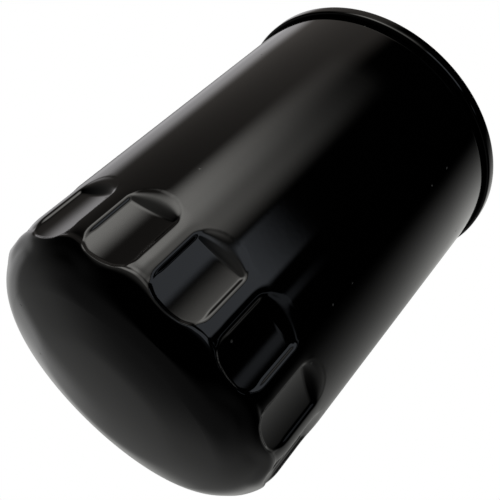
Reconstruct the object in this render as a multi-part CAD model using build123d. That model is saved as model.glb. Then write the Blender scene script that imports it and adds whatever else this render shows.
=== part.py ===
from build123d import *
import math
import os

# Spin-on oil filter. All sizes in mm. Z = 0 is the gasket's sealing face and +Z runs to the dome.

# can
CAN_R = 38.0
CAN_SHEET = 0.36
TIP_Z = 109.3
DOME_R = 115.2
SHOULDER_R = 12.6
NECK_TOP_Z = 7.6

# wrench flutes pressed into the can's shoulder
FLUTES = 14
FLUTE_DEPTH = 1.6
FLUTE_FLOOR_R = 23.4
FLUTE_FLOOR_Z = 85.0
FLUTE_RAMP_DEG = 19.6
FLUTE_EDGE_R = 1.5

# double seam, outermost layer first: seaming wall, body hook, cover hook, can wall, chuck wall
SEAM_R = 39.0
SEAM_BOTTOM_Z = 1.8
SEAM_TOP_Z = 5.2
LID_SHEET = 0.40
SEAM_GAP = 0.03

# base plate and its threaded hub
PLATE_R = 34.0
PLATE_Z = 5.4
PLATE_THICK = 3.0
HUB_R = 11.5
HUB_TOP_Z = 15.0
THREAD_MINOR_R = 8.75
THREAD_LEAD = 1.0
INLETS = 8
INLET_R = 3.25
INLET_PCD_R = 20.5

# gasket
GASKET_R = 36.0
GASKET_BORE_R = 31.1
GASKET_THICK = 5.0

# filter element
CAP_SHEET = 0.4
CAP_R = 33.6
LOWER_CAP_Z = 16.05
UPPER_CAP_Z = 87.3
BOND_THICK = 1.5
PLEATS = 48
PLEAT_TIP_R = 32.4
PLEAT_ROOT_R = 17.0
PAPER = 0.5
TUBE_R = 16.2
TUBE_WALL = 0.5

# bypass valve, set in the element's dome-side cap
CAGE_R = 11.5
CAGE_SHEET = 0.5
CAGE_FLOOR_Z = 75.0
SEAT_SHEET = 0.6
PORT_R = 6.0
POPPET_R = 9.0
STEM_R = 1.8

# springs
ELEMENT_SPRING_R = 17.0
ELEMENT_WIRE_R = 1.0
BYPASS_SPRING_R = 5.5
BYPASS_WIRE_R = 0.5

SHOULDER_CENTRE_R = CAN_R - SHOULDER_R
SHOULDER_RISE = math.sqrt((DOME_R - SHOULDER_R) ** 2 - SHOULDER_CENTRE_R**2)
SHOULDER_CENTRE_Z = TIP_Z - DOME_R + SHOULDER_RISE
LID_Z = PLATE_Z - LID_SHEET / 2
WALL_MID = SEAM_R - LID_SHEET / 2
BODY_HOOK_MID = SEAM_R - LID_SHEET - SEAM_GAP - CAN_SHEET / 2
COVER_HOOK_MID = BODY_HOOK_MID - CAN_SHEET / 2 - SEAM_GAP - LID_SHEET / 2
CAN_WALL_MID = COVER_HOOK_MID - LID_SHEET / 2 - SEAM_GAP - CAN_SHEET / 2
CHUCK_MID = CAN_WALL_MID - CAN_SHEET / 2 - SEAM_GAP - LID_SHEET / 2
CAP_TOP_Z = UPPER_CAP_Z + CAP_SHEET
CAGE_FLANGE_TOP_Z = CAP_TOP_Z + CAGE_SHEET


def polar(radius, angle):
    return (radius * math.cos(angle), radius * math.sin(angle))


def turned(face):
    """Turn a face drawn as (radius, height) once round the Z axis."""
    return revolve(Plane.XZ * face, Axis.Z)


def sheet_ring(points, bends, thickness):
    """Pressed sheet ring: a bent centre line of (radius, height) points, given a thickness."""
    path = FilletPolyline(*points, radius=bends)
    return turned(trace(path, thickness))


def block_ring(inner_r, outer_r, low_z, high_z):
    """Plain ring of rectangular section."""
    section = Pos((inner_r + outer_r) / 2, (low_z + high_z) / 2)
    return turned(section * Rectangle(outer_r - inner_r, high_z - low_z))


def domed_plug(inset):
    """Solid bounded by the can's outside moved in by inset, without flutes or seam."""
    lean = math.degrees(math.atan2(SHOULDER_CENTRE_R, SHOULDER_RISE))
    wall = Line((CAN_R - inset, NECK_TOP_Z), (CAN_R - inset, SHOULDER_CENTRE_Z))
    shoulder = CenterArc((SHOULDER_CENTRE_R, SHOULDER_CENTRE_Z), SHOULDER_R - inset, 0, 90 - lean)
    dome = CenterArc((0, TIP_Z - DOME_R), DOME_R - inset, 90 - lean, lean)
    axis = Line((0, TIP_Z - inset), (0, NECK_TOP_Z))
    base = Line((0, NECK_TOP_Z), (CAN_R - inset, NECK_TOP_Z))
    return turned(make_face(wall + shoulder + dome + axis + base))


def flute_tools(inset):
    """Round plugs with a tapered nose; each presses one hollow flute with a sloping end."""
    ramp = math.radians(FLUTE_RAMP_DEG)
    radius = FLUTE_FLOOR_R + inset
    floor_z = FLUTE_FLOOR_Z - inset * math.tan(ramp / 2)
    nose = 4.0
    nose_z = floor_z - nose / math.tan(ramp)
    outline = Polyline(
        (0, nose_z), (radius - nose, nose_z), (radius, floor_z), (radius, TIP_Z), (0, TIP_Z), close=True
    )
    plug = Pos(CAN_R - FLUTE_DEPTH + FLUTE_FLOOR_R, 0, 0) * turned(make_face(outline))
    return [Rot(0, 0, 360 / FLUTES * i) * plug for i in range(FLUTES)]


def is_crease(edge):
    """True for an edge where a flute breaks out of the can's side or shoulder."""
    low, mid, high = (edge @ at for at in (0, 0.5, 1))
    level = abs(low.Z - high.Z) < 0.001 and abs(low.Z - mid.Z) < 0.001
    if level or min(low.Z, high.Z) < FLUTE_FLOOR_Z - 10:
        return False
    radius = math.hypot(mid.X, mid.Y)
    if mid.Z < SHOULDER_CENTRE_Z:
        return abs(radius - CAN_R) < 0.02
    return abs(math.hypot(radius - SHOULDER_CENTRE_R, mid.Z - SHOULDER_CENTRE_Z) - SHOULDER_R) < 0.02


def make_can():
    """Drawn steel can: domed and fluted at the top, necked and hooked into the seam below."""
    outside = domed_plug(0) - flute_tools(0)
    outside = fillet(outside.edges().filter_by(is_crease), FLUTE_EDGE_R)
    shell = outside - (domed_plug(CAN_SHEET) - flute_tools(CAN_SHEET))
    wall = CAN_R - CAN_SHEET / 2
    hook_bend_z = SEAM_BOTTOM_Z + LID_SHEET + 0.12 + CAN_SHEET / 2
    skirt = sheet_ring(
        [
            (wall, NECK_TOP_Z),
            (wall, NECK_TOP_Z - 0.4),
            (CAN_WALL_MID, SEAM_TOP_Z + 0.8),
            (CAN_WALL_MID, hook_bend_z),
            (BODY_HOOK_MID, hook_bend_z),
            (BODY_HOOK_MID, SEAM_TOP_Z - 0.7),
        ],
        [1.5, 1.5, 0.4, 0.4],
        CAN_SHEET,
    )
    return shell + skirt


def make_seaming_lid():
    """Stamped lid: weld flange, bead that holds the gasket, channel floor, and the seam's lid layers."""
    bead_z = 2.7
    return sheet_ring(
        [
            (26.0, LID_Z),
            (29.55, LID_Z),
            (29.55, bead_z),
            (30.7, bead_z),
            (30.7, LID_Z),
            (CHUCK_MID, LID_Z),
            (CHUCK_MID, SEAM_BOTTOM_Z + LID_SHEET / 2),
            (WALL_MID, SEAM_BOTTOM_Z + LID_SHEET / 2),
            (WALL_MID, SEAM_TOP_Z - LID_SHEET / 2),
            (COVER_HOOK_MID, SEAM_TOP_Z - LID_SHEET / 2),
            (COVER_HOOK_MID, SEAM_TOP_Z - 1.8),
        ],
        [0.5, 0.5, 0.5, 0.5, 0.6, 0.6, 0.7, 0.4, 0.4],
        LID_SHEET,
    )


def make_seam_compound():
    """Sealing compound in the pocket under the lid's cover hook."""
    top = SEAM_TOP_Z - 1.84
    return block_ring(CAN_WALL_MID + 0.23, BODY_HOOK_MID - 0.23, top - 0.38, top)


def make_base_plate():
    """Thick plate with an extruded threaded hub and a ring of oil inlets."""
    top = PLATE_Z + PLATE_THICK
    outline = Polyline(
        (0, PLATE_Z), (PLATE_R, PLATE_Z), (PLATE_R, top), (HUB_R, top), (HUB_R, HUB_TOP_Z), (0, HUB_TOP_Z), close=True
    )
    blank = turned(make_face(outline))
    root = blank.edges().filter_by(GeomType.CIRCLE).filter_by(lambda e: abs(e.radius - HUB_R) < 0.01)
    blank = fillet(root.sort_by(Axis.Z)[0], 1.2)
    rims = blank.edges().filter_by(GeomType.CIRCLE).group_by(SortBy.RADIUS)[-1]
    blank = fillet(rims, 0.5)
    bore = Pos(0, 0, (PLATE_Z + HUB_TOP_Z) / 2) * Cylinder(THREAD_MINOR_R, 20)
    plate = blank - bore
    mouths = plate.edges().filter_by(lambda e: e.geom_type == GeomType.CIRCLE and abs(e.radius - THREAD_MINOR_R) < 0.01)
    plate = chamfer(mouths, THREAD_LEAD)
    inlets = [
        Rot(0, 0, 360 / INLETS * (i + 0.5)) * Pos(INLET_PCD_R, 0, PLATE_Z) * Cylinder(INLET_R, 4 * PLATE_THICK)
        for i in range(INLETS)
    ]
    return plate - inlets


def make_gasket():
    """Moulded rubber sealing ring, proud of the seam."""
    ring = block_ring(GASKET_BORE_R, GASKET_R, 0, GASKET_THICK)
    return fillet(ring.edges().filter_by(GeomType.CIRCLE), 0.5)


def make_drainback_valve():
    """Rubber skirt on the hub; its lip lies on the base plate outside the inlets."""
    return sheet_ring(
        [(12.35, 13.6), (12.35, 11.7), (24.0, 11.0), (27.2, 8.92)],
        [0.9, 4.0],
        1.1,
    )


def make_hub_grommet():
    """Grooved rubber ring that holds the lower cap and seals it on top of the hub."""
    groove_z = LOWER_CAP_Z - 0.05
    ring = block_ring(9.8, 14.2, HUB_TOP_Z, HUB_TOP_Z + 2.6)
    return ring - block_ring(12.4, 15.0, groove_z, groove_z + CAP_SHEET + 0.1)


def make_end_cap(flat_z, bore_r, rim_rise):
    """Stamped cap of the element: a flat ring with a turned rim."""
    mid = flat_z + CAP_SHEET / 2
    rim = CAP_R - CAP_SHEET / 2
    return sheet_ring([(bore_r, mid), (rim, mid), (rim, mid + rim_rise)], [0.7], CAP_SHEET)


def make_bond(low_z):
    """Plastisol bed that bonds the paper to a cap."""
    return block_ring(TUBE_R + 0.1, CAP_R - 1.0, low_z, low_z + BOND_THICK)


def make_center_tube():
    """Perforated steel tube up the middle of the element."""
    low = LOWER_CAP_Z + CAP_SHEET
    tube = block_ring(TUBE_R - TUBE_WALL, TUBE_R, low, UPPER_CAP_Z)
    rows = 9
    pitch = 6.8
    middle = (low + UPPER_CAP_Z) / 2
    drills = []
    for row in range(rows):
        height = middle + pitch * (row - (rows - 1) / 2)
        for column in range(6):
            turn = 30 * column + 15 * (row % 2)
            drills.append(Pos(0, 0, height) * Rot(0, 90, turn) * Cylinder(1.8, 40))
    return tube - drills


def pleat_outline(tip_r, root_r, tip_half, root_half):
    """Closed zigzag with a flat tip and a flat root for each pleat."""
    points = []
    step = 2 * math.pi / PLEATS
    for i in range(PLEATS):
        for radius, angle in (
            (tip_r, i * step - tip_half / tip_r),
            (tip_r, i * step + tip_half / tip_r),
            (root_r, (i + 0.5) * step - root_half / root_r),
            (root_r, (i + 0.5) * step + root_half / root_r),
        ):
            points.append(polar(radius, angle))
    return make_face(Polyline(*points, close=True))


def make_pleated_media():
    """Pleated paper ring."""
    low = LOWER_CAP_Z + CAP_SHEET + BOND_THICK
    height = UPPER_CAP_Z - BOND_THICK - low
    outside = pleat_outline(PLEAT_TIP_R, PLEAT_ROOT_R, 1.1, 0.28)
    inside = pleat_outline(PLEAT_TIP_R - PAPER, PLEAT_ROOT_R - PAPER, 1.1 - PAPER, 0.28 + PAPER)
    return Pos(0, 0, low) * extrude(outside - inside, height)


def make_media_clip():
    """Folded metal strip that joins the two ends of the paper, over one pleat."""
    low = LOWER_CAP_Z + CAP_SHEET + BOND_THICK
    height = UPPER_CAP_Z - BOND_THICK - low
    outer = Pos(31.0, 0) * Rectangle(3.8, 3.2)
    slot = Pos(30.5, 0) * Rectangle(4.0, 2.36)
    return Pos(0, 0, low) * extrude(outer - slot, height)


def make_bypass_cage():
    """Stamped cup with four windows that hangs in the centre tube and holds the valve spring."""
    wall = CAGE_R - CAGE_SHEET / 2
    flange = CAP_TOP_Z + CAGE_SHEET / 2
    cup = sheet_ring(
        [(14.2, flange), (wall, flange), (wall, CAGE_FLOOR_Z), (STEM_R + 0.3, CAGE_FLOOR_Z)],
        [0.6, 1.2],
        CAGE_SHEET,
    )
    windows = [Rot(0, 0, 45 + 90 * i) * Pos(CAGE_R, 0, 81.0) * Box(6, 9.5, 7.5) for i in range(4)]
    return cup - windows


def make_bypass_seat():
    """Valve seat on the cage's flange, with a turned-up port."""
    mid = CAGE_FLANGE_TOP_Z + SEAT_SHEET / 2
    port = PORT_R + SEAT_SHEET / 2
    return sheet_ring([(port, mid + 1.4), (port, mid), (14.2, mid)], [0.6], SEAT_SHEET)


def make_bypass_poppet():
    """Valve plate with its guide stem and the boss that holds the seal."""
    plate_top = CAGE_FLANGE_TOP_Z - 1.2
    plate = block_ring(0, POPPET_R, plate_top - 0.8, plate_top)
    boss = block_ring(0, 3.0, plate_top, CAGE_FLANGE_TOP_Z + 0.3)
    stem = block_ring(0, STEM_R, CAGE_FLOOR_Z - 2.6, plate_top - 0.8)
    return plate + boss + stem


def make_bypass_seal():
    """Rubber disc round the poppet's boss."""
    return block_ring(3.05, 8.4, CAGE_FLANGE_TOP_Z - 1.2, CAGE_FLANGE_TOP_Z - 0.03)


def make_spring(radius, wire_r, low_z, high_z, turns):
    """Open coil spring that fits between two heights."""
    rise = high_z - low_z - 2 * wire_r
    path = Helix(pitch=rise / turns, height=rise, radius=radius)
    wire = Plane(origin=path @ 0, z_dir=path % 0) * Circle(wire_r)
    return Pos(0, 0, low_z + wire_r) * sweep(wire, path=path, is_frenet=True)


PARTS = {
    "can": make_can,
    "seaming_lid": make_seaming_lid,
    "seam_compound": make_seam_compound,
    "base_plate": make_base_plate,
    "gasket": make_gasket,
    "element_spring": lambda: make_spring(ELEMENT_SPRING_R, ELEMENT_WIRE_R, CAP_TOP_Z + 0.05, 107.4, 3),
    "anti_drainback_valve": make_drainback_valve,
    "hub_grommet": make_hub_grommet,
    "lower_end_cap": lambda: make_end_cap(LOWER_CAP_Z, 12.6, 3.2),
    "lower_cap_bond": lambda: make_bond(LOWER_CAP_Z + CAP_SHEET),
    "center_tube": make_center_tube,
    "pleated_media": make_pleated_media,
    "media_clip": make_media_clip,
    "upper_cap_bond": lambda: make_bond(UPPER_CAP_Z - BOND_THICK),
    "upper_end_cap": lambda: make_end_cap(UPPER_CAP_Z, 12.2, -3.2),
    "bypass_valve_cage": make_bypass_cage,
    "bypass_valve_seat": make_bypass_seat,
    "bypass_spring": lambda: make_spring(
        BYPASS_SPRING_R, BYPASS_WIRE_R, CAGE_FLOOR_Z + CAGE_SHEET / 2 + 0.05, CAGE_FLANGE_TOP_Z - 2.05, 4.5
    ),
    "bypass_poppet": make_bypass_poppet,
    "bypass_seal_disc": make_bypass_seal,
}

os.makedirs("parts", exist_ok=True)
for name, make in PARTS.items():
    export_step(make(), f"parts/{name}.step")
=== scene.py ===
import math

import bmesh
import bpy
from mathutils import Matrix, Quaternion, Vector


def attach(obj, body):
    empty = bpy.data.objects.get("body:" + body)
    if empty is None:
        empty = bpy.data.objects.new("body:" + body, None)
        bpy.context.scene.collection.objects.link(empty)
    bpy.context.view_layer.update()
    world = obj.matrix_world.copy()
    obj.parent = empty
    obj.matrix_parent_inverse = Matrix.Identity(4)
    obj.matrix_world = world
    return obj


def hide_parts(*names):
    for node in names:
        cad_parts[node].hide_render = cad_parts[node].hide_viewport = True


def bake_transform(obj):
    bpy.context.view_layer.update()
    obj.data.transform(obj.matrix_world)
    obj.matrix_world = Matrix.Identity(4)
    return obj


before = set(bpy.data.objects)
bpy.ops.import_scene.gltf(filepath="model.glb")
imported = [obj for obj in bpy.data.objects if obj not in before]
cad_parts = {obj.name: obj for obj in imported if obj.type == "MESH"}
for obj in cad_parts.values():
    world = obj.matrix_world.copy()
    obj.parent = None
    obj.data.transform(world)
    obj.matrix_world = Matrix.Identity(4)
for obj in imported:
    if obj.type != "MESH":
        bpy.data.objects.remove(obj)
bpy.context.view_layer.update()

MM = 0.001

# can, in millimetres
CAN_R = 38.0
CAN_SHEET = 0.36
TIP_Z = 109.3
DOME_R = 115.2
SHOULDER_R = 12.6
SHOULDER_CENTRE_R = CAN_R - SHOULDER_R
DOME_CENTRE_Z = TIP_Z - DOME_R
SHOULDER_RISE = math.sqrt((DOME_R - SHOULDER_R) ** 2 - SHOULDER_CENTRE_R**2)
SHOULDER_CENTRE_Z = DOME_CENTRE_Z + SHOULDER_RISE
DOME_LEAN = math.degrees(math.atan2(SHOULDER_CENTRE_R, SHOULDER_RISE))

# flatter panel in the middle of the dome
PANEL_R = 18.6
PANEL_EDGE = 1.1
PANEL_FLATTENING = 0.075

# wrench flutes, in millimetres; across is measured round the can from a flute's middle
FLUTES = 14
FLUTE_DEPTH = 1.7
FLUTE_FLOOR_R = 38.0
FLUTE_HALF = 6.4
FLUTE_WALL = math.tan(math.radians(46))
FLUTE_PITCH = 2 * math.pi * CAN_R / FLUTES
ARCH_Z = 80.0
ARCH_RISE = 4.8
ARCH_CURVE = 1.9
FLOOR_Z = ARCH_Z + ARCH_RISE
FLOOR_BLEND = 0.22
LIP_Z = 99.6
LIP_CURVE_R = 20.0
LIP_CORNER_R = 3.5
RIDGE_BLEND = 0.32
RIDGE_HALF = FLUTE_PITCH / 2 - FLUTE_HALF
RIDGE_CROWN = 0.16
RIDGE_RISES = (81, 86)
RIDGE_FALLS = (96.5, 99)
PRESSED_SPAN = (78, 103)
PRESSED_MIN_R = 25
RAMP_BLEND = 0.3
BEAD_Z = 100.0
BEAD_WAVE = 1.5
BEAD_RISE = 1.3
BEAD_SPREAD = 3.0
BEAD_HEIGHT = 0.42
COLUMNS = 23
COLUMN_CROWDING = 0.4
CROWDED_AT = 0.655

# seaming lid, in millimetres: corners and bends of the folded sheet's centre line
LID_SHEET = 0.40
LID_CORNERS = [
    (26.0, 5.2),
    (29.55, 5.2),
    (29.55, 2.7),
    (30.7, 2.7),
    (30.7, 5.2),
    (37.16, 5.2),
    (37.16, 2.0),
    (38.80, 2.0),
    (38.80, 5.0),
    (37.98, 5.0),
    (37.98, 3.4),
]
LID_BENDS = (0.5, 0.5, 0.5, 0.5, 0.6, 0.6, 0.7, 0.4, 0.4)
LID_RIM = 0.06
SEAM_IN_R = 36.9
THIN_PAINT_R = 35.2
WELD_CIRCLE_R = 27.9
WELD_R = 1.1
WELDS = 8

# threaded base plate, in millimetres
PLATE_R = 34.0
PLATE_Z = 5.4
PLATE_TOP_Z = 8.4
PLATE_EDGE = 0.5
HUB_R = 11.5
HUB_ROOT = 1.2
HUB_EDGE = 0.3
HUB_TOP_Z = 15.0
INLETS = 8
INLET_R = 3.25
INLET_CIRCLE_R = 20.5
INLET_EDGE = 0.2
THREAD_ROOT_R = 9.55
THREAD_CREST_R = 8.78
THREAD_PITCH = 1.5875
THREAD_TURNS = 5
THREAD_START_Z = 6.25
THREAD_LEAD = 0.3

# springs, in millimetres
ELEMENT_SPRING_R = 17.0
ELEMENT_WIRE_R = 1.0
ELEMENT_SPRING_SPAN = (87.75, 107.4)
ELEMENT_TURNS = 3
BYPASS_SPRING_R = 5.5
BYPASS_WIRE_R = 0.5
BYPASS_SPRING_SPAN = (75.3, 86.15)
BYPASS_TURNS = 4.5

# cross corrugation of the filter paper, in millimetres
PAPER_ROW = 2.2

# gasket, in millimetres
GASKET_IN_R = 31.1
GASKET_OUT_R = 36.0
GASKET_TOP_Z = 5.0
GASKET_EDGE = 0.5


# ---------------------------------------------------------------- modelling helpers


def start(name):
    """Name the new primitive and open it in edit mode with nothing selected."""
    obj = bpy.context.active_object
    obj.name = obj.data.name = name
    bpy.ops.object.mode_set(mode="EDIT")
    bpy.ops.mesh.select_all(action="DESELECT")
    return obj


def select(obj, test, kind="verts"):
    """Select the vertices, edges or faces whose middle passes a test; say how many."""
    mesh = bmesh.from_edit_mesh(obj.data)
    bpy.ops.mesh.select_all(action="DESELECT")
    chosen = 0
    for item in getattr(mesh, kind):
        at = item.co if kind == "verts" else sum((v.co for v in item.verts), Vector()) / len(item.verts)
        if test(at):
            item.select_set(True)
            chosen += 1
    mesh.select_flush(True)
    bmesh.update_edit_mesh(obj.data)
    return chosen


def new_circle(name, radius, height, count):
    bpy.ops.object.select_all(action="DESELECT")
    bpy.ops.mesh.primitive_circle_add(vertices=count, radius=radius * MM, location=(0, 0, height * MM))
    bpy.ops.object.transform_apply(location=True, rotation=True, scale=True)
    return start(name)


def draw_rings(outline):
    """Pull the selected ring along (radius, height) points."""
    for (r0, z0), (r1, z1) in zip(outline, outline[1:]):
        bpy.ops.mesh.extrude_region_move(TRANSFORM_OT_translate={"value": (0, 0, (z1 - z0) * MM)})
        grow = r1 / r0
        bpy.ops.transform.resize(value=(grow, grow, 1), center_override=(0, 0, z1 * MM))


def tidy_mesh(obj, angle):
    """Merge doubles, turn the faces outwards and shade the mesh smooth to an angle."""
    bpy.ops.object.mode_set(mode="EDIT")
    bpy.ops.mesh.select_all(action="SELECT")
    bpy.ops.mesh.remove_doubles(threshold=0.004 * MM)
    bpy.ops.mesh.normals_make_consistent(inside=False)
    bpy.ops.object.mode_set(mode="OBJECT")
    bpy.ops.object.select_all(action="DESELECT")
    obj.select_set(True)
    bpy.context.view_layer.objects.active = obj
    bpy.ops.object.shade_smooth_by_angle(angle=math.radians(angle))


def finish_piece(obj, body, node, angle=40):
    """Tidy the piece and hand it to the frame in place of its CAD node."""
    tidy_mesh(obj, angle)
    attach(obj, body)
    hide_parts(node)
    return obj


def arc(centre, radius, start_deg, end_deg, steps):
    """Points of an arc of (radius, height) pairs."""
    points = []
    for i in range(steps + 1):
        turn = math.radians(start_deg + (end_deg - start_deg) * i / steps)
        points.append((centre[0] + radius * math.cos(turn), centre[1] + radius * math.sin(turn)))
    return points


def bent_line(corners, bends, steps=6):
    """Centre line of a folded sheet: straight runs joined by round bends."""
    line = [Vector(corners[0])]
    for before, corner, after, bend in zip(corners, corners[1:], corners[2:], bends):
        corner = Vector(corner)
        back = (Vector(before) - corner).normalized()
        on = (Vector(after) - corner).normalized()
        half = back.angle(on) / 2
        centre = corner + (back + on).normalized() * bend / math.sin(half)
        first = (corner + back * bend / math.tan(half) - centre).normalized()
        last = (corner + on * bend / math.tan(half) - centre).normalized()
        line += [centre + bend * first.slerp(last, i / steps) for i in range(steps + 1)]
    return line + [Vector(corners[-1])]


def apply_modifier(obj, kind, **settings):
    bpy.ops.object.mode_set(mode="OBJECT")
    bpy.context.view_layer.objects.active = obj
    modifier = obj.modifiers.new(kind.lower(), kind)
    for key, value in settings.items():
        setattr(modifier, key, value)
    bpy.ops.object.modifier_apply(modifier=modifier.name)


def edit(obj):
    bpy.ops.object.select_all(action="DESELECT")
    obj.select_set(True)
    bpy.context.view_layer.objects.active = obj
    bpy.ops.object.mode_set(mode="EDIT")


# ---------------------------------------------------------------- can


def soft_min(a, b, blend):
    """The smaller of two lengths, with a rounded change from one to the other."""
    near = max(blend - abs(a - b), 0.0) / blend
    return min(a, b) - near * near * blend / 4


def soft_max(a, b, blend):
    return -soft_min(-a, -b, blend)


def ease(value, low, high):
    """0 below low, 1 above high, and a smooth rise between."""
    t = min(max((value - low) / (high - low), 0.0), 1.0)
    return t * t * (3 - 2 * t)


def press_depth(across, height):
    """How far the press has pushed the can's wall in; below zero outside a flute."""
    side = FLUTE_HALF - abs(across)
    end = LIP_Z - across**2 / (2 * LIP_CURVE_R) - height
    if height < FLOOR_Z:
        along = (FLOOR_Z - height) / ARCH_RISE
        inside = (1 - math.hypot(across / FLUTE_HALF, along)) * FLUTE_HALF
    elif side < LIP_CORNER_R and end < LIP_CORNER_R:
        inside = LIP_CORNER_R - math.hypot(LIP_CORNER_R - side, LIP_CORNER_R - end)
    else:
        inside = min(side, end)
    wall_depth = inside * FLUTE_WALL
    if inside <= 0 or height > FLOOR_Z + 2:
        return wall_depth
    rise = ARCH_RISE * math.sqrt(max(1 - (across / FLUTE_HALF) ** 2, 0.0004))
    floor_depth = FLUTE_DEPTH - across**2 / (2 * CAN_R) - across**2 / (2 * FLUTE_FLOOR_R)
    ramp = floor_depth * max((height - FLOOR_Z + rise) / rise, 0) ** ARCH_CURVE
    return soft_min(ramp, wall_depth, RAMP_BLEND)


def lip(across, height):
    """Metal raised round the can just past the flutes' ends, in a wave."""
    wave = (1 - math.cos(2 * math.pi * across / FLUTE_PITCH)) / 2
    off = height - BEAD_Z + BEAD_WAVE * wave
    off /= BEAD_SPREAD if off > 0 else BEAD_RISE
    return BEAD_HEIGHT * math.cos(off * math.pi / 2) ** 2 if abs(off) < 1 else 0.0


def ridge_crown(across, height):
    """How far the ridge between two flutes rounds off towards them."""
    off = min((FLUTE_PITCH / 2 - abs(across)) / RIDGE_HALF, 1.0)
    return RIDGE_CROWN * off * off * ease(height, *RIDGE_RISES) * (1 - ease(height, *RIDGE_FALLS))


def fluted_radius(radius, height, turn, inset):
    """Radius of the pressed can at a height and an angle from the middle of a flute."""
    across = CAN_R * turn
    wall = radius + lip(across, height) - ridge_crown(across, height)
    tool = FLUTE_FLOOR_R + inset
    axis = CAN_R - FLUTE_DEPTH + FLUTE_FLOOR_R
    floor = axis * math.cos(turn) - math.sqrt(tool * tool - (axis * math.sin(turn)) ** 2)
    pressed = soft_max(floor, wall - press_depth(across, height), FLOOR_BLEND)
    return soft_min(wall, pressed, RIDGE_BLEND)


def can_radius(height):
    """Radius of the unpressed can's outside at a height."""
    if height <= SHOULDER_CENTRE_Z:
        return CAN_R
    rise = height - SHOULDER_CENTRE_Z
    if rise < SHOULDER_R * SHOULDER_RISE / (DOME_R - SHOULDER_R):
        return SHOULDER_CENTRE_R + math.sqrt(SHOULDER_R**2 - rise * rise)
    return math.sqrt(max(DOME_R**2 - (height - DOME_CENTRE_Z) ** 2, 0))


def dome_rows(inset, rows):
    """Dome's outline from its middle out to the shoulder, with the flatter panel set in it."""
    edge = (DOME_R - inset) * math.sin(math.radians(DOME_LEAN))
    points = []
    for i in range(rows + 1):
        r = 0.5 + (edge - 0.5) * i / rows
        sphere = math.sqrt((DOME_R - inset) ** 2 - r * r) + DOME_CENTRE_Z
        over = max(PANEL_R - r, 0) / PANEL_R
        bend = PANEL_EDGE * math.log1p(math.exp(min((PANEL_R - r) / (PANEL_EDGE / 2), 40))) / 2
        points.append((r, sphere - PANEL_FLATTENING * bend * (1 - over / 2)))
    return points


def shoulder_rows(inset, steps):
    return arc((SHOULDER_CENTRE_R, SHOULDER_CENTRE_Z), SHOULDER_R - inset, 90 - DOME_LEAN, 0, steps)[1:]


def level_rows(radius, *stretches):
    """Rows down a straight wall: each stretch is (top, bottom, spacing)."""
    rows = []
    for top, bottom, spacing in stretches:
        count = round((top - bottom) / spacing)
        rows += [(radius, top - (top - bottom) * (i + 1) / count) for i in range(count)]
    return rows


def can_outline():
    """Section of the can: down the outside, round the body hook and back up the inside."""
    wall_z = SHOULDER_CENTRE_Z
    outline = dome_rows(0, 18)
    outline += [p for i, p in enumerate(shoulder_rows(0, 66)) if i > 26 or i % 3 == 0]
    outline += level_rows(CAN_R, (wall_z, 86.2, 1.2), (86.2, 79.6, 0.3), (79.6, 76, 0.9), (76, 7.6, 17.1))
    outline += [(37.97, 7.2), (37.9, 6.8), (37.81, 6.45), (37.76, 6.1), (37.75, 5.7), (37.75, 3.1)]
    outline += arc((37.98, 2.9), 0.23, 180, 360, 4) + [(38.21, 4.5), (38.57, 4.5)]
    outline += arc((37.98, 2.9), 0.59, 0, -180, 8) + [(37.39, 5.8), (37.43, 6.3), (37.55, 6.8), (37.64, 7.4)]
    inside = dome_rows(CAN_SHEET, 4) + shoulder_rows(CAN_SHEET, 9)
    inside += level_rows(CAN_R - CAN_SHEET, (wall_z, 79.6, 2.3), (79.6, 10, 34.8))
    return outline + list(reversed(inside))


def crowd_columns(turn):
    """Move a column of the half flute so that most of them stand by the flute's side wall."""
    whole = math.pi / FLUTES
    start_shift = COLUMN_CROWDING * math.sin(2 * math.pi * CROWDED_AT) / (2 * math.pi)
    t = turn / whole
    t += -COLUMN_CROWDING * math.sin(2 * math.pi * (t - CROWDED_AT)) / (2 * math.pi) - start_shift
    return t * whole


def press_flutes(obj):
    """Push the half flute's points in to the pressed shape."""
    mesh = bmesh.from_edit_mesh(obj.data)
    low, high = PRESSED_SPAN
    for vert in mesh.verts:
        radius = math.hypot(vert.co.x, vert.co.y) / MM
        height = vert.co.z / MM
        turn = crowd_columns(math.atan2(vert.co.y, vert.co.x))
        pressed = radius
        if radius > PRESSED_MIN_R and low < height < high:
            inset = CAN_SHEET if radius < can_radius(height) - CAN_SHEET / 2 else 0
            pressed = fluted_radius(radius, height, turn, inset)
        vert.co.x = pressed * math.cos(turn) * MM
        vert.co.y = pressed * math.sin(turn) * MM
    bmesh.update_edit_mesh(obj.data)


def close_pole(obj, radius, height):
    """Draw the ring nearest the axis in to a point."""
    near = 0.02 * MM
    select(obj, lambda at: math.hypot(at.x, at.y) < 1.02 * radius * MM and abs(at.z - height * MM) < near)
    bpy.ops.mesh.extrude_region_move(TRANSFORM_OT_translate={"value": (0, 0, 0)})
    bpy.ops.transform.resize(value=(0, 0, 1), center_override=(0, 0, height * MM))


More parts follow.
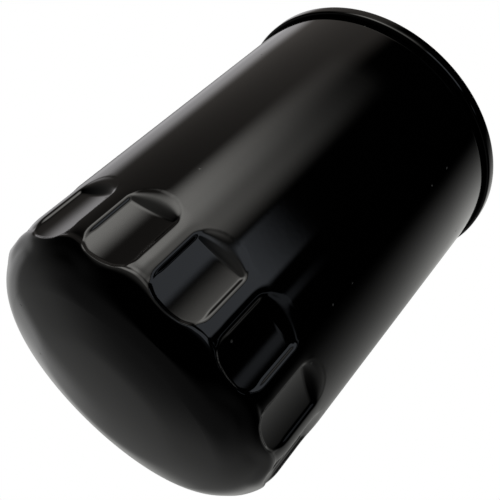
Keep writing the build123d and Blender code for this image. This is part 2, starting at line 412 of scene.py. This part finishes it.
def build_can():
    """Drawn can: half a flute is pulled along the outline, pressed, mirrored and spun round."""
    outline = can_outline()
    obj = new_circle("can_shell", *outline[0], 2 * COLUMNS * FLUTES)
    half = math.pi / FLUTES + 1e-4
    select(obj, lambda at: not -1e-4 <= math.atan2(at.y, at.x) <= half)
    bpy.ops.mesh.delete(type="VERT")
    bpy.ops.mesh.select_all(action="SELECT")
    draw_rings(outline)
    press_flutes(obj)
    close_pole(obj, *outline[0])
    close_pole(obj, *outline[-1])
    bpy.ops.mesh.select_all(action="SELECT")
    bpy.ops.mesh.remove_doubles(threshold=0.002 * MM)
    bpy.ops.mesh.select_all(action="SELECT")
    bpy.ops.mesh.duplicate()
    bpy.ops.transform.resize(value=(1, -1, 1), center_override=(0, 0, 0))
    bpy.ops.mesh.select_all(action="SELECT")
    bpy.ops.mesh.remove_doubles(threshold=0.004 * MM)
    bpy.ops.mesh.select_all(action="SELECT")
    turned_through = 2 * math.pi * (FLUTES - 1) / FLUTES
    bpy.ops.mesh.spin(steps=FLUTES - 1, dupli=True, angle=turned_through, center=(0, 0, 0), axis=(0, 0, 1))
    return finish_piece(obj, "housing", "can", angle=60)


# ---------------------------------------------------------------- lid, base plate and gasket


def build_lid():
    """Seaming lid: a sheet ring folded along its centre line, then given its thickness."""
    line = bent_line(LID_CORNERS, LID_BENDS)
    obj = new_circle("seaming_lid_sheet", *line[0], 224)
    bpy.ops.mesh.select_all(action="SELECT")
    draw_rings(line)
    apply_modifier(obj, "SOLIDIFY", thickness=LID_SHEET * MM, offset=0, use_even_offset=True)
    sharp = {"limit_method": "ANGLE", "angle_limit": math.radians(50)}
    apply_modifier(obj, "BEVEL", width=LID_RIM * MM, segments=2, **sharp)
    return finish_piece(obj, "housing", "seaming_lid")


def build_gasket():
    """Gasket: a rubber ring with rounded edges."""
    low = GASKET_EDGE
    high = GASKET_TOP_Z - GASKET_EDGE
    outline = arc((GASKET_OUT_R - GASKET_EDGE, low), GASKET_EDGE, -90, 0, 6)
    outline += arc((GASKET_OUT_R - GASKET_EDGE, high), GASKET_EDGE, 0, 90, 6)
    outline += arc((GASKET_IN_R + GASKET_EDGE, high), GASKET_EDGE, 90, 180, 6)
    outline += arc((GASKET_IN_R + GASKET_EDGE, low), GASKET_EDGE, 180, 270, 6)
    outline.append(outline[0])
    obj = new_circle("gasket_ring", *outline[0], 192)
    bpy.ops.mesh.select_all(action="SELECT")
    draw_rings(outline)
    return finish_piece(obj, "housing", "gasket", angle=60)


def plate_outline():
    """Section of the base plate and its hub, round from the bore's lower edge."""
    outline = [(THREAD_ROOT_R + THREAD_LEAD, PLATE_Z)]
    outline += arc((PLATE_R - PLATE_EDGE, PLATE_Z + PLATE_EDGE), PLATE_EDGE, -90, 0, 5)
    outline += arc((PLATE_R - PLATE_EDGE, PLATE_TOP_Z - PLATE_EDGE), PLATE_EDGE, 0, 90, 5)
    outline += arc((HUB_R + HUB_ROOT, PLATE_TOP_Z + HUB_ROOT), HUB_ROOT, 270, 180, 6)
    outline += arc((HUB_R - HUB_EDGE, HUB_TOP_Z - HUB_EDGE), HUB_EDGE, 0, 90, 4)
    outline.append((THREAD_ROOT_R + THREAD_LEAD, HUB_TOP_Z))
    outline.append((THREAD_ROOT_R, HUB_TOP_Z - THREAD_LEAD))
    outline.append((THREAD_ROOT_R, PLATE_Z + THREAD_LEAD))
    return outline + outline[:1]


def inlet_places():
    turns = [math.radians(360 / INLETS * (i + 0.5)) for i in range(INLETS)]
    return [(INLET_CIRCLE_R * math.cos(turn) * MM, INLET_CIRCLE_R * math.sin(turn) * MM) for turn in turns]


def pierce_inlets(plate):
    """Cut the eight oil inlets through the plate with punches that ease their edges."""
    bpy.ops.object.mode_set(mode="OBJECT")
    edge = 2 * INLET_EDGE
    outline = [(INLET_R + edge, PLATE_Z - INLET_EDGE), (INLET_R, PLATE_Z + INLET_EDGE)]
    outline += [(INLET_R, PLATE_TOP_Z - INLET_EDGE), (INLET_R + edge, PLATE_TOP_Z + INLET_EDGE)]
    punches = []
    for x, y in inlet_places():
        punch = new_circle("inlet_punch", *outline[0], 48)
        bpy.ops.mesh.select_all(action="SELECT")
        draw_rings(outline)
        for height in (outline[0][1], outline[-1][1]):
            select(punch, lambda at: abs(at.z / MM - height) < 0.01)
            bpy.ops.mesh.edge_face_add()
        bpy.ops.mesh.select_all(action="SELECT")
        bpy.ops.mesh.normals_make_consistent(inside=False)
        bpy.ops.transform.translate(value=(x, y, 0))
        bpy.ops.object.mode_set(mode="OBJECT")
        punches.append(punch)
    bpy.ops.object.select_all(action="DESELECT")
    for punch in punches:
        punch.select_set(True)
    bpy.ops.object.join()
    cutter = bpy.context.active_object
    apply_modifier(plate, "BOOLEAN", operation="DIFFERENCE", solver="EXACT", object=cutter)
    bpy.data.objects.remove(cutter)


def cut_thread():
    """Wind the ridge of the hub's right-hand thread up the bore."""
    bpy.ops.object.mode_set(mode="OBJECT")
    bpy.ops.object.select_all(action="DESELECT")
    bpy.ops.mesh.primitive_circle_add(vertices=4, radius=MM, location=(0, 0, 0))
    ridge = start("thread_ridge")
    mesh = bmesh.from_edit_mesh(ridge.data)
    half = THREAD_PITCH / 2 - 0.08
    section = [(THREAD_ROOT_R + 0.08, -half), (THREAD_CREST_R, -0.1), (THREAD_CREST_R, 0.1)]
    section.append((THREAD_ROOT_R + 0.08, half))
    for vert, (radius, height) in zip(mesh.verts, section):
        vert.co = Vector((radius, 0, THREAD_START_Z + height)) * MM
    bmesh.update_edit_mesh(ridge.data)
    wound = {"axis": "Z", "angle": 2 * math.pi, "screw_offset": THREAD_PITCH * MM, "iterations": THREAD_TURNS}
    apply_modifier(ridge, "SCREW", steps=96, render_steps=96, **wound)
    edit(ridge)
    middle = THREAD_START_Z + THREAD_PITCH * THREAD_TURNS / 2
    past = THREAD_PITCH * 2
    for side in (-1, 1):
        select(ridge, lambda at: abs(at.y) < 1e-6 and at.x > 0 and (at.z / MM - middle) * side > past)
        bpy.ops.mesh.edge_face_add()
    bpy.ops.object.mode_set(mode="OBJECT")
    return ridge


def build_base_plate():
    """Base plate: turned plate and hub, pierced inlets and the threaded bore."""
    outline = plate_outline()
    obj = new_circle("base_plate_and_hub", *outline[0], 192)
    bpy.ops.mesh.select_all(action="SELECT")
    draw_rings(outline)
    bpy.ops.mesh.select_all(action="SELECT")
    bpy.ops.mesh.remove_doubles(threshold=0.004 * MM)
    bpy.ops.mesh.normals_make_consistent(inside=False)
    pierce_inlets(obj)
    ridge = cut_thread()
    bpy.ops.object.select_all(action="DESELECT")
    ridge.select_set(True)
    obj.select_set(True)
    bpy.context.view_layer.objects.active = obj
    bpy.ops.object.join()
    return finish_piece(obj, "housing", "base_plate", angle=35)


def build_spring(name, node, radius, wire, span, turns, lower_body, upper_body):
    """Coil spring wound between the two heights of its span."""
    low, high = span
    bpy.ops.object.select_all(action="DESELECT")
    place = (radius * MM, 0, (low + wire) * MM)
    upright = (math.pi / 2, 0, 0)
    bpy.ops.mesh.primitive_circle_add(vertices=16, radius=wire * MM, location=place, rotation=upright)
    bpy.ops.object.transform_apply(location=True, rotation=True, scale=True)
    obj = start(name)
    wound = {"axis": "Z", "angle": 2 * math.pi * turns, "screw_offset": (high - low - 2 * wire) * MM}
    apply_modifier(obj, "SCREW", steps=round(64 * turns), render_steps=round(64 * turns), **wound)
    edit(obj)
    for middle in (low + wire, high - wire):
        select(obj, lambda at: abs(at.y) < 1e-6 and abs(at.z / MM - middle) < wire + 0.01)
        bpy.ops.mesh.edge_face_add()
    tidy_mesh(obj, 50)
    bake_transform(obj)
    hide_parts(node)
    return obj


def build_element_spring():
    sizes = (ELEMENT_SPRING_R, ELEMENT_WIRE_R, ELEMENT_SPRING_SPAN, ELEMENT_TURNS)
    return build_spring("element_spring_coil", "element_spring", *sizes, "element", "housing")


def build_bypass_spring():
    sizes = (BYPASS_SPRING_R, BYPASS_WIRE_R, BYPASS_SPRING_SPAN, BYPASS_TURNS)
    return build_spring("bypass_spring_coil", "bypass_spring", *sizes, "element", "bypass_valve")


# ---------------------------------------------------------------- materials


def put(tree, kind, inputs=None, **settings):
    """Add a node, set it up, and link or set its inputs by name or number."""
    node = tree.nodes.new(kind)
    for key, value in settings.items():
        setattr(node, key, value)
    for key, value in (inputs or {}).items():
        if isinstance(value, bpy.types.NodeSocket):
            tree.links.new(value, node.inputs[key])
        else:
            node.inputs[key].default_value = value
    return node


def new_material(name):
    material = bpy.data.materials.new(name)
    material.use_nodes = True
    tree = material.node_tree
    tree.nodes.clear()
    return material, tree


def finish_material(tree, shader):
    out = put(tree, "ShaderNodeOutputMaterial")
    tree.links.new(shader, out.inputs["Surface"])


def new_group(name, inputs, output):
    """Start a node group with float inputs after its Vector; returns it and its inside sockets."""
    group = bpy.data.node_groups.new(name, "ShaderNodeTree")
    group.interface.new_socket("Vector", in_out="INPUT", socket_type="NodeSocketVector")
    for label in inputs:
        group.interface.new_socket(label, in_out="INPUT", socket_type="NodeSocketFloat")
    group.interface.new_socket(output, in_out="OUTPUT", socket_type="NodeSocketFloat")
    return group, put(group, "NodeGroupInput").outputs


def close_group(group, value):
    group.links.new(value, put(group, "NodeGroupOutput").inputs[0])
    return group


def math_node(tree, operation, *values, clamp=False):
    inputs = dict(enumerate(values))
    return put(tree, "ShaderNodeMath", inputs, operation=operation, use_clamp=clamp).outputs[0]


def ramp_node(tree, value, low, high):
    """0 where the value is at low, 1 where it is at high."""
    ranged = {"Value": value, "From Min": low, "From Max": high}
    return put(tree, "ShaderNodeMapRange", ranged, interpolation_type="SMOOTHSTEP").outputs[0]


def length_node(tree, first, second):
    """Length of two lengths at right angles, such as the distance from the filter's axis."""
    squares = [math_node(tree, "POWER", side, 2.0) for side in (first, second)]
    return math_node(tree, "SQRT", math_node(tree, "ADD", *squares))


def mottle_group():
    """Uneven tone of a coat or a sheet: broad patches with a finer grain in them."""
    group, inside = new_group("mottle", ("Patch Scale", "Grain Scale"), "Tone")
    patch = put(group, "ShaderNodeTexNoise", {"Vector": inside[0], "Scale": inside[1], "Detail": 3.0})
    grain = put(group, "ShaderNodeTexNoise", {"Vector": inside[0], "Scale": inside[2], "Detail": 4.0})
    both = math_node(group, "ADD", patch.outputs["Fac"], grain.outputs["Fac"])
    return close_group(group, math_node(group, "MULTIPLY", both, 0.5))


def speck_group():
    """Sparse round specks, such as settled dust or small bubbles."""
    group, inside = new_group("specks", ("Scale", "Share", "Size"), "Speck")
    cells = put(group, "ShaderNodeTexVoronoi", {"Vector": inside[0], "Scale": inside[1]})
    chance = put(group, "ShaderNodeSeparateColor", {0: cells.outputs["Color"]}).outputs[0]
    chosen = math_node(group, "LESS_THAN", chance, inside[2])
    small = math_node(group, "MULTIPLY", inside[3], 0.5)
    spot = ramp_node(group, cells.outputs["Distance"], inside[3], small)
    return close_group(group, math_node(group, "MULTIPLY", chosen, spot))


def turning_group():
    """Fine rings about the filter's axis, as turning and spinning leave them."""
    group, inside = new_group("turning_marks", ("Scale",), "Ring")
    parts = put(group, "ShaderNodeSeparateXYZ", {0: inside[0]}).outputs
    across = length_node(group, parts[0], parts[1])
    turn = math_node(group, "MULTIPLY", math_node(group, "ARCTAN2", parts[1], parts[0]), 0.0002)
    place = put(group, "ShaderNodeCombineXYZ", {0: across, 1: parts[2], 2: turn}).outputs[0]
    rings = {"Vector": place, "Scale": inside[1], "Detail": 5.0, "Roughness": 0.7}
    return close_group(group, put(group, "ShaderNodeTexNoise", rings).outputs["Fac"])


def rolling_group():
    """Long straight lines across a sheet, as rolling leaves them."""
    group, inside = new_group("rolling_marks", ("Scale",), "Line")
    drawn = put(group, "ShaderNodeVectorMath", {0: inside[0], 1: (0.03, 1.0, 0.3)}, operation="MULTIPLY")
    lines = {"Vector": drawn.outputs[0], "Scale": inside[1], "Detail": 5.0, "Roughness": 0.7}
    return close_group(group, put(group, "ShaderNodeTexNoise", lines).outputs["Fac"])


def wear_group():
    """Where handling has rubbed the outer edges, broken up by noise."""
    group, inside = new_group("edge_wear", ("Amount",), "Wear")
    sharp = put(group, "ShaderNodeNewGeometry").outputs["Pointiness"]
    edges = ramp_node(group, sharp, 0.52, 0.60)
    noise = put(group, "ShaderNodeTexNoise", {"Vector": inside[0], "Scale": 450.0, "Detail": 5.0})
    broken = math_node(group, "MULTIPLY", edges, ramp_node(group, noise.outputs["Fac"], 0.42, 0.62))
    return close_group(group, math_node(group, "MULTIPLY", broken, inside[1]))


def weld_group():
    """Round marks of the spot welds between the lid and the base plate."""
    group, inside = new_group("weld_marks", ("Count", "Circle", "Size"), "Mark")
    parts = put(group, "ShaderNodeSeparateXYZ", {0: inside[0]}).outputs
    across = length_node(group, parts[0], parts[1])
    turn = math_node(group, "ARCTAN2", parts[1], parts[0])
    share = math_node(group, "DIVIDE", 2 * math.pi, inside[1])
    half = math_node(group, "MULTIPLY", share, 0.5)
    low = math_node(group, "MULTIPLY", share, -0.5)
    along = math_node(group, "MULTIPLY", math_node(group, "WRAP", turn, half, low), across)
    out = math_node(group, "SUBTRACT", across, inside[2])
    away = length_node(group, along, out)
    edge = math_node(group, "MULTIPLY", inside[3], 0.75)
    return close_group(group, ramp_node(group, away, inside[3], edge))


def use_group(tree, group, *values):
    """Add a shared effect; the values are its Vector and then its numbers."""
    node = put(tree, "ShaderNodeGroup", node_tree=group)
    for socket, value in zip(node.inputs, values):
        if isinstance(value, bpy.types.NodeSocket):
            tree.links.new(value, socket)
        else:
            socket.default_value = value
    return node.outputs[0]


def blend(tree, amount, first, second):
    """Mix two colours, each a socket or (red, green, blue)."""
    inputs = {0: amount}
    for key, colour in ((6, first), (7, second)):
        inputs[key] = colour if isinstance(colour, bpy.types.NodeSocket) else (*colour, 1)
    return put(tree, "ShaderNodeMix", inputs, data_type="RGBA").outputs[2]


def between(tree, amount, first, second):
    """Number from first to second as the amount goes from 0 to 1."""
    scaled = {"Value": amount, "To Min": first, "To Max": second}
    return put(tree, "ShaderNodeMapRange", scaled).outputs[0]


def bump(tree, height, depth_mm, strength=1.0):
    inputs = {"Height": height, "Strength": strength, "Distance": depth_mm * MM}
    return put(tree, "ShaderNodeBump", inputs).outputs["Normal"]


DEEP_BLACK = (0.0004, 0.0004, 0.0004)
THIN_BLACK = (0.012, 0.012, 0.013)
GREY_DUST = (0.05, 0.05, 0.048)
PALE_BLOOM = (0.35, 0.34, 0.33)


def gloss_black_paint():
    """Can: deep black baked paint with faint orange peel and a little dust."""
    material, tree = new_material("gloss_black_paint")
    place = put(tree, "ShaderNodeTexCoord").outputs["Object"]
    peel = use_group(tree, MOTTLE, place, 320.0, 900.0)
    dust = use_group(tree, SPECKS, place, 260.0, 0.06, 0.11)
    colour = blend(tree, dust, DEEP_BLACK, GREY_DUST)
    paint = {"Base Color": colour, "Roughness": between(tree, dust, 0.055, 0.45)}
    paint["Normal"] = bump(tree, peel, 0.2, 0.02)
    finish_material(tree, put(tree, "ShaderNodeBsdfPrincipled", paint).outputs[0])
    return material


def lid_paint():
    """Seaming lid: the can's paint on the seam, thin over the steel and welds inside it."""
    material, tree = new_material("lid_paint")
    place = put(tree, "ShaderNodeTexCoord").outputs["Object"]
    parts = put(tree, "ShaderNodeSeparateXYZ", {0: place}).outputs
    across = length_node(tree, parts[0], parts[1])
    inner = ramp_node(tree, across, SEAM_IN_R * MM, THIN_PAINT_R * MM)
    tone = use_group(tree, MOTTLE, place, 240.0, 1400.0)
    lines = use_group(tree, TURNING, place, 2600.0)
    weld = use_group(tree, WELDS_MARKED, place, float(WELDS), WELD_CIRCLE_R * MM, WELD_R * MM)
    wear = use_group(tree, WEAR, place, 0.6)
    dust = use_group(tree, SPECKS, place, 260.0, 0.08, 0.11)
    bare = math_node(tree, "MULTIPLY", ramp_node(tree, tone, 0.50, 0.66), 0.5)
    bare = math_node(tree, "MAXIMUM", bare, math_node(tree, "MULTIPLY", weld, 0.7))
    bare = math_node(tree, "MAXIMUM", bare, wear)
    bare = math_node(tree, "MULTIPLY", bare, inner, clamp=True)
    steel = blend(tree, lines, (0.16, 0.155, 0.15), (0.34, 0.33, 0.31))
    paint = blend(tree, dust, blend(tree, inner, DEEP_BLACK, THIN_BLACK), GREY_DUST)
    finish = {"Base Color": blend(tree, bare, paint, steel), "Metallic": bare}
    finish["Roughness"] = between(tree, inner, 0.055, 0.30)
    finish["Normal"] = bump(tree, tone, 0.2, 0.05)
    finish_material(tree, put(tree, "ShaderNodeBsdfPrincipled", finish).outputs[0])
    return material


def steel(name, dark, light, roughness, marks, marks_scale, stain):
    """Bare or plated steel: tool marks, uneven tone, stains along the marks and in specks, and rubbed edges.
    """
    material, tree = new_material(name)
    place = put(tree, "ShaderNodeTexCoord").outputs["Object"]
    tone = use_group(tree, MOTTLE, place, 130.0, 1800.0)
    lines = use_group(tree, marks, place, marks_scale)
    spots = use_group(tree, SPECKS, place, 700.0, 0.12, 0.3)
    wear = use_group(tree, WEAR, place, 0.7)
    colour = blend(tree, ramp_node(tree, tone, 0.38, 0.62), dark, light)
    colour = blend(tree, math_node(tree, "MULTIPLY", ramp_node(tree, lines, 0.55, 0.72), 0.35), colour, stain)
    colour = blend(tree, math_node(tree, "MULTIPLY", spots, 0.4), colour, stain)
    colour = blend(tree, wear, colour, [min(1.25 * c, 1.0) for c in light])
    rough = between(tree, lines, roughness - 0.12, roughness + 0.14)
    metal = {"Base Color": colour, "Metallic": 1.0, "Roughness": rough}
    metal["Normal"] = bump(tree, lines, 0.01, 0.4)
    finish_material(tree, put(tree, "ShaderNodeBsdfPrincipled", metal).outputs[0])
    return material


def plated_plate():
    dark = (0.34, 0.33, 0.31)
    light = (0.48, 0.47, 0.45)
    return steel("plated_plate", dark, light, 0.34, TURNING, 2600.0, stain=(0.20, 0.18, 0.15))


def drawn_spring_wire():
    dark = (0.40, 0.40, 0.40)
    light = (0.56, 0.56, 0.56)
    return steel("drawn_spring_wire", dark, light, 0.30, TURNING, 5200.0, stain=(0.2, 0.19, 0.17))


def rolled_tinplate():
    dark = (0.48, 0.47, 0.45)
    light = (0.62, 0.61, 0.59)
    return steel("tinplate", dark, light, 0.28, ROLLING, 1900.0, stain=(0.33, 0.32, 0.30))


def zinc_plate():
    dark = (0.42, 0.41, 0.37)
    light = (0.56, 0.55, 0.51)
    return steel("zinc_plate", dark, light, 0.32, ROLLING, 2400.0, stain=(0.38, 0.33, 0.20))


def rubber(name, dark, light, low, high, grain_scale, bloom):
    """Moulded rubber: fine grain, patchy sheen and a little pale bloom."""
    material, tree = new_material(name)
    place = put(tree, "ShaderNodeTexCoord").outputs["Object"]
    tone = use_group(tree, MOTTLE, place, 150.0, grain_scale)
    dust = use_group(tree, SPECKS, place, 500.0, 0.15, 0.22)
    patch = ramp_node(tree, tone, 0.40, 0.60)
    bloomed = math_node(tree, "MULTIPLY", dust, bloom)
    colour = blend(tree, bloomed, blend(tree, patch, dark, light), PALE_BLOOM)
    skin = {"Base Color": colour, "Roughness": between(tree, patch, low, high)}
    skin["Normal"] = bump(tree, tone, 0.05, 0.35)
    finish_material(tree, put(tree, "ShaderNodeBsdfPrincipled", skin).outputs[0])
    return material


def sealing_compound():
    dark = (0.055, 0.055, 0.062)
    light = (0.10, 0.10, 0.112)
    return rubber("sealing_compound", dark, light, 0.62, 0.85, 1300.0, bloom=0.2)


def oiled_gasket_rubber():
    dark = (0.012, 0.012, 0.013)
    light = (0.028, 0.028, 0.03)
    return rubber("oiled_gasket_rubber", dark, light, 0.30, 0.52, 2000.0, bloom=0.25)


def red_valve_rubber():
    dark = (0.22, 0.045, 0.022)
    light = (0.33, 0.075, 0.038)
    return rubber("red_valve_rubber", dark, light, 0.42, 0.66, 1700.0, bloom=0.35)


def cured_bond():
    """Plastisol that holds the caps: red-brown, half glossy, with small bubbles."""
    material, tree = new_material("cured_plastisol")
    place = put(tree, "ShaderNodeTexCoord").outputs["Object"]
    tone = use_group(tree, MOTTLE, place, 180.0, 1100.0)
    bubbles = use_group(tree, SPECKS, place, 650.0, 0.35, 0.3)
    colour = blend(tree, ramp_node(tree, tone, 0.36, 0.64), (0.25, 0.075, 0.03), (0.44, 0.16, 0.07))
    colour = blend(tree, math_node(tree, "MULTIPLY", bubbles, 0.5), colour, (0.12, 0.03, 0.015))
    hollow = math_node(tree, "SUBTRACT", tone, bubbles)
    skin = {"Base Color": colour, "Roughness": between(tree, tone, 0.28, 0.5)}
    skin["Normal"] = bump(tree, hollow, 0.1, 0.4)
    finish_material(tree, put(tree, "ShaderNodeBsdfPrincipled", skin).outputs[0])
    return material


def filter_paper():
    """Resin-treated filter paper: fibres, cross corrugation and darker resin patches."""
    material, tree = new_material("resin_filter_paper")
    place = put(tree, "ShaderNodeTexCoord").outputs["Object"]
    tone = use_group(tree, MOTTLE, place, 160.0, 2400.0)
    flat = put(tree, "ShaderNodeVectorMath", {0: place, 1: (1.0, 1.0, 0.12)}, operation="MULTIPLY").outputs[0]
    fibres = {"Vector": flat, "Scale": 3200.0, "Detail": 6.0, "Roughness": 0.75}
    fibre = put(tree, "ShaderNodeTexNoise", fibres).outputs["Fac"]
    height = put(tree, "ShaderNodeSeparateXYZ", {0: place}).outputs[2]
    rows = math_node(tree, "SINE", math_node(tree, "MULTIPLY", height, 2 * math.pi / (PAPER_ROW * MM)))
    colour = blend(tree, ramp_node(tree, tone, 0.36, 0.64), (0.55, 0.37, 0.11), (0.80, 0.62, 0.26))
    pale = math_node(tree, "MULTIPLY", ramp_node(tree, fibre, 0.5, 0.7), 0.45)
    colour = blend(tree, pale, colour, (0.88, 0.76, 0.46))
    relief = math_node(tree, "ADD", math_node(tree, "MULTIPLY", rows, 0.5), fibre)
    skin = {"Base Color": colour, "Roughness": between(tree, fibre, 0.72, 0.95)}
    skin["Normal"] = bump(tree, relief, 0.12, 0.6)
    finish_material(tree, put(tree, "ShaderNodeBsdfPrincipled", skin).outputs[0])
    return material


def paint_piece(obj, material):
    obj.data.materials.clear()
    obj.data.materials.append(material)


# ---------------------------------------------------------------- light, floor and camera


SOFT_LIGHTS = [
    # azimuth, half width, feather, elevation, half height, feather, strength, colour
    (48, 6, 14, -15, 7, 22, 1.7, (1.0, 0.99, 0.95)),
    (36, 12, 20, -16, 10, 24, 1.5, (1.0, 0.98, 0.93)),
    (85, 30, 22, -55, 8, 20, 0.12, (1.0, 0.92, 0.85)),
    (85, 30, 22, -40, 24, 20, 0.11, (1.0, 0.92, 0.85)),
    (-12, 14, 5, -8, 22, 7, 0.68, (0.9, 0.97, 1.08)),
    (-45, 1, 4, -13, 15, 8, 0.24, (0.9, 0.97, 1.08)),
    (36, 20, 24, 18, 5, 20, 0.30, (1.0, 0.98, 0.93)),
    (-10, 12, 12, 22, 5, 14, 0.08, (0.9, 0.97, 1.08)),
    (135, 6, 18, -35, 20, 25, 0.72, (1.0, 0.98, 1.0)),
    (-150, 15, 60, -40, 30, 20, 0.33, (1.0, 1.0, 0.97)),
    (-150, 15, 60, -62, 14, 14, 0.42, (1.0, 1.0, 0.97)),
    (150, 14, 14, -3, 12, 8, 0.32, (1.0, 1.0, 1.0)),
    (180, 40, 50, 13, 14, 21, 0.195, (1.0, 1.0, 0.98)),
    (180, 60, 60, 75, 30, 20, 0.08, (1.0, 1.0, 1.0)),
]


def soft_light_group():
    """Node group: how bright one soft box looks from a given direction."""
    group = bpy.data.node_groups.new("soft_box", "ShaderNodeTree")
    names = ("Azimuth", "Elevation", "At Azimuth", "Half Width", "Feather Width")
    names += ("At Elevation", "Half Height", "Feather Height")
    for name in names:
        group.interface.new_socket(name, in_out="INPUT", socket_type="NodeSocketFloat")
    group.interface.new_socket("Glow", in_out="OUTPUT", socket_type="NodeSocketFloat")
    inside = put(group, "NodeGroupInput").outputs

    def fall(value, half, feather):
        edge = put(group, "ShaderNodeMath", {0: half, 1: feather}, operation="ADD").outputs[0]
        ranged = {"Value": value, "From Min": edge, "From Max": half}
        return put(group, "ShaderNodeMapRange", ranged, interpolation_type="SMOOTHSTEP").outputs[0]

    away = put(group, "ShaderNodeMath", {0: inside[0], 1: inside[2]}, operation="SUBTRACT").outputs[0]
    away = put(group, "ShaderNodeMath", {0: away, 1: 180.0, 2: -180.0}, operation="WRAP").outputs[0]
    away = put(group, "ShaderNodeMath", {0: away}, operation="ABSOLUTE").outputs[0]
    above = put(group, "ShaderNodeMath", {0: inside[1], 1: inside[5]}, operation="SUBTRACT").outputs[0]
    above = put(group, "ShaderNodeMath", {0: above}, operation="ABSOLUTE").outputs[0]
    across = fall(away, inside[3], inside[4])
    up = fall(above, inside[6], inside[7])
    glow = put(group, "ShaderNodeMath", {0: across, 1: up}, operation="MULTIPLY").outputs[0]
    group.links.new(glow, put(group, "NodeGroupOutput").inputs[0])
    return group


def make_world():
    """Dark studio with soft boxes; the lens sees only white."""
    world = bpy.data.worlds.new("studio")
    bpy.context.scene.world = world
    world.use_nodes = True
    tree = world.node_tree
    tree.nodes.clear()
    direction = put(tree, "ShaderNodeTexCoord").outputs["Generated"]
    parts = put(tree, "ShaderNodeSeparateXYZ", {0: direction}).outputs
    turn = put(tree, "ShaderNodeMath", {0: parts[1], 1: parts[0]}, operation="ARCTAN2").outputs[0]
    turn = put(tree, "ShaderNodeMath", {0: turn}, operation="DEGREES").outputs[0]
    lift = put(tree, "ShaderNodeMath", {0: parts[2]}, operation="ARCSINE").outputs[0]
    lift = put(tree, "ShaderNodeMath", {0: lift}, operation="DEGREES").outputs[0]
    group = soft_light_group()
    total = None
    for at, wide, soft, high, tall, fade, strength, colour in SOFT_LIGHTS:
        box = {0: turn, 1: lift, 2: at, 3: wide, 4: soft, 5: high, 6: tall, 7: fade}
        glow = put(tree, "ShaderNodeGroup", node_tree=group)
        for key, value in box.items():
            if isinstance(value, bpy.types.NodeSocket):
                tree.links.new(value, glow.inputs[key])
            else:
                glow.inputs[key].default_value = value
        tint = [strength * c for c in colour]
        lit = {0: glow.outputs[0], 1: tint}
        scaled = put(tree, "ShaderNodeVectorMath", lit, operation="MULTIPLY").outputs[0]
        if total is None:
            total = scaled
        else:
            total = put(tree, "ShaderNodeVectorMath", {0: total, 1: scaled}, operation="ADD").outputs[0]
    seen = put(tree, "ShaderNodeLightPath").outputs["Is Camera Ray"]
    studio = put(tree, "ShaderNodeBackground", {"Color": total, "Strength": 1.0})
    white = put(tree, "ShaderNodeBackground", {"Color": (1, 1, 1, 1), "Strength": 1.0})
    mixed = put(tree, "ShaderNodeMixShader", {0: seen, 1: studio.outputs[0], 2: white.outputs[0]})
    tree.links.new(mixed.outputs[0], put(tree, "ShaderNodeOutputWorld").inputs["Surface"])


def make_floor():
    """Plain white floor, seen from above only; it doesn't show in the paint."""
    bpy.ops.object.select_all(action="DESELECT")
    bpy.ops.mesh.primitive_plane_add(size=4.0, location=(0, 0, -0.1 * MM))
    floor = bpy.context.active_object
    floor.name = "floor"
    material, tree = new_material("white_floor")
    behind = put(tree, "ShaderNodeNewGeometry").outputs["Backfacing"]
    glow = put(tree, "ShaderNodeEmission", {"Color": (1, 1, 1, 1), "Strength": 1.0}).outputs[0]
    clear = put(tree, "ShaderNodeBsdfTransparent").outputs[0]
    mixed = put(tree, "ShaderNodeMixShader", {0: behind, 1: glow, 2: clear})
    finish_material(tree, mixed.outputs[0])
    paint_piece(floor, material)
    floor.visible_glossy = False
    floor.visible_diffuse = False
    floor.visible_transmission = False
    floor.visible_shadow = False


def make_camera():
    data = bpy.data.cameras.new("camera")
    camera = bpy.data.objects.new("camera", data)
    bpy.context.scene.collection.objects.link(camera)
    spot = Vector((157.455, -14.052, 154.212)) * MM
    aim = Vector((-11.553, 1.338, 48.384)) * MM
    level = (aim - spot).to_track_quat("-Z", "Y")
    camera.location = spot
    camera.rotation_mode = "QUATERNION"
    camera.rotation_quaternion = level @ Quaternion((0, 0, 1), math.radians(-135.325))
    data.lens = 54.16
    data.sensor_width = 36.0
    data.clip_start, data.clip_end = 0.01, 10.0
    bpy.context.scene.camera = camera


make_camera()
make_world()
make_floor()
bpy.context.scene.view_settings.view_transform = "Standard"
MOTTLE = mottle_group()
SPECKS = speck_group()
TURNING = turning_group()
ROLLING = rolling_group()
WEAR = wear_group()
WELDS_MARKED = weld_group()

can_paint = gloss_black_paint()
seam_paint = lid_paint()
plated = plated_plate()
spring_wire = drawn_spring_wire()
tinplate = rolled_tinplate()
zinc = zinc_plate()
compound = sealing_compound()
gasket_rubber = oiled_gasket_rubber()
valve_rubber = red_valve_rubber()
bond = cured_bond()
paper = filter_paper()

NODE_MATERIALS = {
    "seam_compound": compound,
    "anti_drainback_valve": valve_rubber,
    "hub_grommet": gasket_rubber,
    "lower_end_cap": tinplate,
    "lower_cap_bond": bond,
    "center_tube": tinplate,
    "pleated_media": paper,
    "media_clip": tinplate,
    "upper_cap_bond": bond,
    "upper_end_cap": tinplate,
    "bypass_valve_cage": zinc,
    "bypass_valve_seat": zinc,
    "bypass_poppet": zinc,
    "bypass_seal_disc": valve_rubber,
}

paint_piece(build_can(), can_paint)
paint_piece(build_lid(), seam_paint)
paint_piece(build_base_plate(), plated)
paint_piece(build_gasket(), gasket_rubber)
paint_piece(build_element_spring(), spring_wire)
paint_piece(build_bypass_spring(), spring_wire)
for name, material in NODE_MATERIALS.items():
    paint_piece(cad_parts[name], material)
